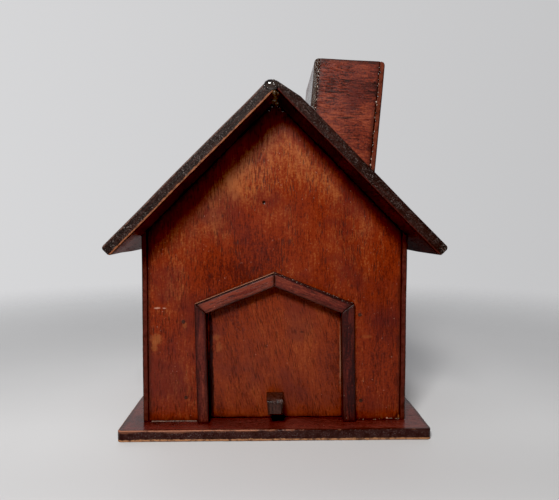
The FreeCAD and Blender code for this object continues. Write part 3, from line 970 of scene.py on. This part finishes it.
def make_ridge_blob(rng):
    """A big drop of glue and varnish on the front of the ridge, with small ones all over it."""
    peak = extreme("left_roof_board", (0, -0.01, 1))
    heart = Vector((peak.x + 1.5 * MM, cad_low.y + 0.6 * MM, peak.z - 2.8 * MM))
    blob = [(heart, (3.9 * MM, 1.6 * MM, 3.1 * MM))]
    for k in range(30):
        angle = rng.uniform(0, 2 * math.pi)
        out = rng.uniform(0.3, 1.0)
        across = 3.5 * math.cos(angle) * out
        forward = -1.3 * (1.0 - 0.8 * out)
        upward = 2.3 * math.sin(angle) * out
        radius = rng.uniform(0.40, 0.85) * MM
        blob.append((heart + Vector((across, forward, upward)) * MM, (radius, radius * 0.9, radius)))
    lumps("ridge_glue_blob", blob, ridge_varnish, 32)


def make_ridge_run(rng):
    """Glue in the seam under the ridge, from its front to the wall."""
    start = Vector((0.2 * MM, cad_low.y + 1.5 * MM, gable_top - 1.4 * MM))
    end = Vector((-0.3 * MM, wall_low.y - 1 * MM, gable_top - 1.6 * MM))
    run = []
    for k in range(9):
        drift = Vector((rng.uniform(-1.2, 1.2), 0.0, rng.uniform(-0.5, 0.6))) * MM
        radii = (rng.uniform(1.2, 2.3) * MM, 2.6 * MM, rng.uniform(1.0, 1.8) * MM)
        run.append((start.lerp(end, k / 8) + drift, radii))
    lumps("ridge_glue_run", run, amber_glue, 33)


def make_apex_glue(rng):
    """Dark lumps where the roof boards meet the tip of the front wall."""
    under = []
    for k in range(8):
        across = rng.uniform(-4.5, 4.5) * MM
        height = gable_top - abs(across) - rng.uniform(0.4, 1.2) * MM
        radius = rng.uniform(0.8, 1.4) * MM
        under.append((Vector((across, wall_low.y, height)), (radius, 0.5 * radius, radius)))
    lumps("apex_glue", under, dark_varnish, 34)


def make_ridge_glue():
    """All the glue at the ridge, drawn from one row of random numbers."""
    rng = random.Random(31)
    make_ridge_blob(rng)
    make_ridge_run(rng)
    make_apex_glue(rng)


# --- chimney ---


def make_chimney():
    top = extreme("chimney_left_board", (-0.3, 0, 1))
    foot = extreme("chimney_left_board", (-1, 0, -0.6))
    upright = (top - foot).normalized()
    side = BACK.cross(upright)
    chimney_high = top.z

    def corner(reach):
        """A test for the upper arris that runs from front to back at this distance across."""
        def test(spot, edge):
            near = abs(spot.x - reach) < 1 * MM
            return lengthwise(edge) and spot.z > chimney_high - 4 * MM and near
        return test

    right_corner = extreme("chimney_right_board", (1, 0, 0.3)).x
    plans = (
        ("chimney_left_board", side, BACK, chimney_left_ply, ((corner(top.x), 2.6 * MM),)),
        ("chimney_right_board", side, BACK, chimney_right_ply, ((corner(right_corner), 2.2 * MM),)),
        ("chimney_front_board", BACK, side, chimney_ply, ()),
        ("chimney_back_board", BACK, side, chimney_ply, ()),
        ("chimney_slot_plate", UP, BACK, chimney_ply, ()),
    )

    def low_is_lighter(spot):
        return 0.10 - 0.22 * smooth_step(spot.z, chimney_high - 50 * MM, chimney_high - 12 * MM)

    for seed, (node, thick, grain, material, soft) in enumerate(plans, start=8):
        board(
            node, thick, grain, material, seed=seed, step=3 * MM, wobble=0.2 * MM,
            tint=low_is_lighter, wear=lambda spot: -0.25, soft_corners=soft,
        )


def make_chimney_beads():
    """Varnish beads that set along the two joints on the chimney's front."""
    rng = random.Random(41)
    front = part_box("chimney_front_board")[0].y
    for name, node, way in (("left", "chimney_left_board", 1), ("right", "chimney_right_board", -1)):
        top = extreme(node, (way, 0, 3)) + Vector((0, 0, -2.0 * MM))
        foot = extreme(node, (1.2 * way, 0, -1))
        top.y = foot.y = front - 0.15 * MM
        drops = along(top, foot, 30, (0.14 * MM, 0.46 * MM), rng, stray=0.40 * MM)
        pale = [drop for drop in drops if rng.random() < 0.40]
        dark = [drop for drop in drops if drop not in pale]
        lumps(f"chimney_{name}_beads", pale, bead_varnish, 42)
        lumps(f"chimney_{name}_dark_beads", dark, dark_varnish, 43)


# --- door frame, door and knob ---


def jamb_bulge(spot):
    """The right jamb, and the foot of the strip on it, bulge outward a little."""
    return RIGHT * (0.9 * MM * smooth_step(spot.x, trim_right - 5 * MM, trim_right - 1 * MM))


def make_trim():
    # Tones per strip: the left ones are lighter than the right ones, partly their own stain and partly
    # painted light from the upper left.
    plans = (
        ("left_door_jamb", UP, -0.10),
        ("right_door_jamb", UP, -0.24),
        ("left_door_rafter", None, 0.26),
        ("right_door_rafter", None, 0.16),
    )
    for seed, (node, grain, tone) in enumerate(plans, start=13):
        if grain is None:
            make_door_rafter(node, tone, seed)
            continue
        board(
            node, BACK, grain, trim_stain, seed=seed, round_off=0.7 * MM, step=2 * MM,
            wobble=0.25 * MM, tint=lambda spot: tone, wear=lambda spot: -0.12,
            reshape=jamb_bulge,
        )


# Distances under a strip's upper edge, in mm, where its mesh is cut to carry the groove.
GROOVE_CUTS = (0.5, 0.75, 0.9, 1.05, 1.2, 1.4, 1.6, 2.1, 2.7)


def make_door_rafter(node, tone, seed):
    """A strip with a narrow groove along its upper edge, rubbed pale above it, with painted shade in the
    groove.

    The left one also has a painted highlight below the groove and deeper painted shade in the groove.
    """
    side = -1 if middle(node).x < 0 else 1
    apex = extreme(node, (-0.1 * side, 0, 1))
    shoulder = extreme(node, (side, 0, 0.1))
    run = (shoulder - apex) * side
    run.y = 0.0
    run.normalize()
    upward = run.cross(BACK)
    upper = apex.dot(upward)
    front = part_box(node)[0].y

    def below(spot):
        """Distance under the strip's upper edge."""
        return upper - spot.dot(upward)

    def groove(spot):
        reach = below(spot)
        return smooth_step(reach, 0.5 * MM, 0.9 * MM) * (1.0 - smooth_step(reach, 1.2 * MM, 1.6 * MM))

    painted_highlight, painted_groove_shade, top_wear = (0.85, 1.2, 0.62) if side < 0 else (0.0, 0.6, 0.30)

    def tint(spot):
        # Painted light: lit is a painted highlight band about 2 mm under the upper edge, and the groove is
        # darkened as painted shade.
        lit = 1.0 - smooth_step(abs(below(spot) - 2.1 * MM), 0.3 * MM, 1.1 * MM)
        return tone + painted_highlight * lit - painted_groove_shade * groove(spot)

    def wear(spot):
        return top_wear if below(spot) < 0.7 * MM else -0.4

    def sink(spot):
        out = jamb_bulge(spot)
        return out + BACK * (0.45 * MM * groove(spot)) if spot.y < front + 1.2 * MM else out

    cuts = [upper - reach * MM for reach in GROOVE_CUTS]
    board(
        node, BACK, run, trim_stain, seed=seed, round_off=0.5 * MM, step=2 * MM,
        wobble=0.10 * MM, tint=tint, wear=wear, extra_cuts=((upward, cuts),), reshape=sink,
    )


def make_trim_beads():
    """Small varnish beads along the upper edges of the door frame's sloping strips."""
    rng = random.Random(61)
    for name, side, down, count in (("left", -1, 1.9 * MM, 16), ("right", 1, 0.5 * MM, 34)):
        node = f"{name}_door_rafter"
        apex = extreme(node, (-0.1 * side, 0, 1)) - UP * down
        shoulder = extreme(node, (side, 0, 0.1)) - UP * down
        apex.y = shoulder.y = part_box(node)[0].y + (0.45 if side < 0 else 0.25) * MM
        drops = along(apex, shoulder, count, (0.08 * MM, 0.26 * MM), rng, stray=0.35 * MM)
        lumps(f"{name}_rafter_beads", drops, bead_varnish, 62)


def make_door():
    tilt = math.radians(12)
    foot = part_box("door_panel")[0].z

    def ragged_foot(spot):
        """The bottom edge was sawn unevenly."""
        near_foot = 1.0 - smooth_step(spot.z - foot, 0.6 * MM, 2.0 * MM)
        lift = 0.35 + 0.5 * noise.noise(Vector((spot.x / (7 * MM), 3.0, 5.0)))
        return UP * near_foot * max(0.2, lift) * MM

    def warm_middle(spot):
        away = math.hypot(spot.x / (34 * MM), (spot.z - 45 * MM) / (34 * MM))
        return 0.08 - 0.16 * smooth_step(away, 0.3, 1.15)

    board(
        "door_panel", BACK, (-math.sin(tilt), 0, math.cos(tilt)), door_ply, seed=20.0,
        wobble=0.08 * MM, body="door", tint=warm_middle, wear=lambda spot: -0.4, reshape=ragged_foot,
    )


def whittle(bm, low, high):
    """Takes knife cuts off the peg's head. Each is a point and the way that the cut faces."""
    mid_height = (low.z + high.z) / 2
    cuts = (
        ((low.x + 0.7 * MM, low.y, mid_height), (-0.80, -0.60, 0.02)),
        ((high.x - 0.7 * MM, low.y, mid_height), (0.86, -0.50, -0.04)),
        ((0.0, low.y + 0.10 * MM, high.z - 1.5 * MM), (0.05, -0.90, 0.42)),
        ((0.0, low.y + 1.1 * MM, high.z - 0.2 * MM), (-0.05, -0.45, 0.89)),
        ((low.x + 1.2 * MM, low.y, high.z - 0.5 * MM), (-0.45, -0.45, 0.77)),
        ((high.x - 0.9 * MM, low.y + 2 * MM, high.z - 0.2 * MM), (0.62, -0.10, 0.78)),
        ((0.0, low.y + 0.2 * MM, low.z + 0.6 * MM), (0.0, -0.80, -0.60)),
    )
    for point, normal in cuts:
        geometry = bm.verts[:] + bm.edges[:] + bm.faces[:]
        cut = bmesh.ops.bisect_plane(
            bm, geom=geometry, dist=1e-6, plane_co=Vector(point), plane_no=Vector(normal), clear_outer=True
        )
        rim = [e for e in cut["geom_cut"] if isinstance(e, bmesh.types.BMEdge)]
        bmesh.ops.contextual_create(bm, geom=rim)
    bmesh.ops.recalc_face_normals(bm, faces=bm.faces)


def make_knob():
    """The CAD peg with more knife cuts. Its top isn't roughened, as it goes close under the strips."""
    low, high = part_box("door_knob")
    bm = welded_cad("door_knob")
    whittle(bm, low, high)
    head_back = wall_low.y + 3 * MM
    creases = [e for e in bm.edges if len(e.link_faces) == 2 and e.calc_face_angle(0.0) > 0.3]
    bevel(bm, [e for e in creases if e.verts[0].co.y < head_back], 0.22 * MM, 2)
    for axis in (RIGHT, BACK, UP):
        slice_along(bm, axis, even_places(bm, axis, 1.0 * MM))
    for vert in bm.verts:
        free = smooth_step(high.z - vert.co.z, 0.3 * MM, 1.5 * MM)
        if vert.co.y < high.y - 4 * MM:
            vert.co += wander(vert.co, 3 * MM, 7.0) * (0.18 * MM * free)
    mesh = into_mesh(bm, "door_knob_whittled")
    store_place(mesh)
    piece = make_object("door_knob_whittled", mesh, peg_wood)
    piece.modifiers.new("even_normals", "WEIGHTED_NORMAL").keep_sharp = False
    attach(piece, "door")
    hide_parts("door_knob")


def make_foot_glue():
    """Dried glue along the foot of the front wall: a thin line on the left, loose bits on the right."""
    rng = random.Random(51)
    front, height = wall_low.y - 0.15 * MM, base_top + 0.1 * MM
    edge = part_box("left_wall")[0].x + 5 * MM
    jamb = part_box("left_door_jamb")[0].x
    line = []
    for k in range(30):
        spot = Vector((edge + (jamb - edge) * k / 29, front, height))
        line.append((spot, (0.75 * MM, 0.28 * MM, rng.uniform(0.12, 0.26) * MM)))
    lumps("foot_glue_left", line, pale_glue, 52)
    start = Vector((44 * MM, front, height + 0.2 * MM))
    end = Vector((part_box("right_wall")[1].x - 3 * MM, front, height + 0.2 * MM))
    crumbs = [
        (start.lerp(end, rng.random()) + UP * rng.uniform(-0.2, 0.5) * MM, (size, 0.6 * size, 0.8 * size))
        for size in [rng.uniform(0.12, 0.34) * MM for k in range(14)]
    ]
    lumps("foot_glue_right", crumbs, pale_glue, 53)


# --- parts that keep their CAD shape ---


def dress_cad(node, grain, material):
    """Gives a CAD node wood attributes and a material, and leaves its shape alone."""
    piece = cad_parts[node]
    grain = Vector(grain)
    across = grain.orthogonal().normalized()
    third = grain.cross(across)
    points = [v.co for v in piece.data.vertices]
    flow = [(p.dot(grain), p.dot(across), p.dot(third)) for p in points]
    store(piece.data, "grain", flow, "FLOAT_VECTOR")
    store_place(piece.data)
    piece.data.materials.clear()
    piece.data.materials.append(material)


def paint_inside():
    for node in ("ridge_block", "left_floor_batten", "right_floor_batten"):
        dress_cad(node, BACK, inner_wood)
    uprights = ("front_{}_corner_batten", "back_{}_corner_batten", "{}_guide_spacer", "{}_guide_cover")
    for side in ("left", "right"):
        for node in uprights:
            dress_cad(node.format(side), UP, inner_wood)
    for node in ("guide_pins", "base_pins"):
        dress_cad(node, UP, steel)


# --- stage, light and camera ---


def make_stage():
    """A pale round floor that fades into the backdrop, with painted shade towards the front, where the key
    light falls strongest.
    """
    bm = bmesh.new()
    bmesh.ops.create_circle(bm, cap_ends=True, segments=96, radius=1.4)
    mesh = into_mesh(bm, "floor")
    s = Shader("floor_paint")
    place = s.tree.nodes.new("ShaderNodeTexCoord").outputs["Object"]
    cloud = s.noise(place, scale=9.0, detail=3.0)
    away = s.vector("LENGTH", place)
    s.link(s.ramp(away, 0.16, 0.75, 1.0, 0.0), s.bsdf.inputs["Alpha"])
    split = s.tree.nodes.new("ShaderNodeSeparateXYZ")
    s.link(place, split.inputs["Vector"])
    # Painted shade: darker towards the front, to even out the key light's pool there.
    front = s.ramp(split.outputs["Y"], -0.12, -0.04, 0.70, 0.0)
    color = s.mix(cloud, (0.67, 0.67, 0.68), (0.72, 0.72, 0.73))
    color = s.mix(front, color, (0.52, 0.52, 0.53))
    material = s.finish(color, 0.6, specular=0.2)
    floor = make_object("floor", mesh, material)


def background(tree, color, strength):
    """A background shader of one colour whose strength comes from a socket."""
    node = tree.nodes.new("ShaderNodeBackground")
    node.inputs["Color"].default_value = (*color, 1.0)
    tree.links.new(strength, node.inputs["Strength"])
    return node.outputs["Background"]


def make_world():
    """The camera sees an even pale backdrop; the light from behind the house is brighter than the room's."""
    world = bpy.data.worlds.new("studio")
    bpy.context.scene.world = world
    world.use_nodes = True
    tree = world.node_tree
    tree.nodes.clear()
    direction = tree.nodes.new("ShaderNodeSeparateXYZ")
    generated = tree.nodes.new("ShaderNodeTexCoord").outputs["Generated"]
    tree.links.new(generated, direction.inputs["Vector"])

    def along_axis(axis, low, high, out_low, out_high):
        node = map_range(tree, low, high, out_low, out_high)
        tree.links.new(direction.outputs[axis], node.inputs["Value"])
        return node.outputs["Result"]

    strength = tree.nodes.new("ShaderNodeMath")
    strength.operation = "MULTIPLY"
    tree.links.new(along_axis("Y", -0.25, 0.45, 0.03, 0.50), strength.inputs[0])
    tree.links.new(along_axis("X", -0.8, 0.8, 1.55, 0.65), strength.inputs[1])
    lit = background(tree, (0.97, 0.98, 1.0), strength.outputs["Value"])
    seen = background(tree, (0.985, 0.985, 1.0), along_axis("X", -0.5, 0.5, 0.69, 0.57))
    both = tree.nodes.new("ShaderNodeMixShader")
    path = tree.nodes.new("ShaderNodeLightPath")
    tree.links.new(path.outputs["Is Camera Ray"], both.inputs["Fac"])
    tree.links.new(lit, both.inputs[1])
    tree.links.new(seen, both.inputs[2])
    output = tree.nodes.new("ShaderNodeOutputWorld")
    tree.links.new(both.outputs["Shader"], output.inputs["Surface"])


def area_light(name, direction, distance, size, power, color=(1, 1, 1)):
    """A square soft light that faces the middle of the house from a direction."""
    data = bpy.data.lights.new(name, "AREA")
    data.shape = "SQUARE"
    data.size = size
    data.energy = power
    data.color = color
    light = bpy.data.objects.new(name, data)
    bpy.context.scene.collection.objects.link(light)
    aim = (cad_low + cad_high) / 2
    way = Vector(direction).normalized()
    light.location = aim + way * distance
    light.rotation_euler = way.to_track_quat("Z", "Y").to_euler()


def make_lights():
    area_light("key", (-0.089, -0.452, 0.284), 0.541, 0.14, 3.35, (1.0, 0.985, 0.96))
    area_light("top", (-0.1, 0.5, 1.0), 1.4, 1.0, 1.8)


def make_camera():
    """Stands a little left of the middle, just above half height, and looks slightly down."""
    data = bpy.data.cameras.new("camera")
    data.sensor_width = 36.0
    data.lens = 32.2
    data.clip_start, data.clip_end = 0.01, 20.0
    camera = bpy.data.objects.new("camera", data)
    pitch, yaw, roll = 0.048, 0.025, 0.002
    flat = math.cos(pitch)
    forward = Vector((math.sin(yaw) * flat, math.cos(yaw) * flat, -math.sin(pitch)))
    level = Vector((math.cos(yaw), -math.sin(yaw), 0))
    upward = level.cross(forward)
    right = level * math.cos(roll) + upward * math.sin(roll)
    top = upward * math.cos(roll) - level * math.sin(roll)
    turn = Matrix((right, top, -forward)).transposed().to_4x4()
    stand = Vector((-4.43 * MM, wall_low.y - 268.48 * MM, base_top + 106.14 * MM))
    camera.matrix_world = Matrix.Translation(stand) @ turn
    bpy.context.scene.collection.objects.link(camera)
    bpy.context.scene.camera = camera


BLACK_LEVEL = 0.006


def make_view():
    """Plain colour rendering with slightly deeper blacks."""
    view = bpy.context.scene.view_settings
    view.view_transform = "Standard"
    view.use_curve_mapping = True
    view.curve_mapping.black_level = (BLACK_LEVEL, BLACK_LEVEL, BLACK_LEVEL)
    view.curve_mapping.update()


make_walls()
make_base()
make_roof()
make_ridge_glue()
make_chimney()
make_chimney_beads()
make_trim()
make_trim_beads()
make_door()
make_knob()
make_foot_glue()
paint_inside()
make_stage()
make_world()
make_lights()
make_camera()
make_view()
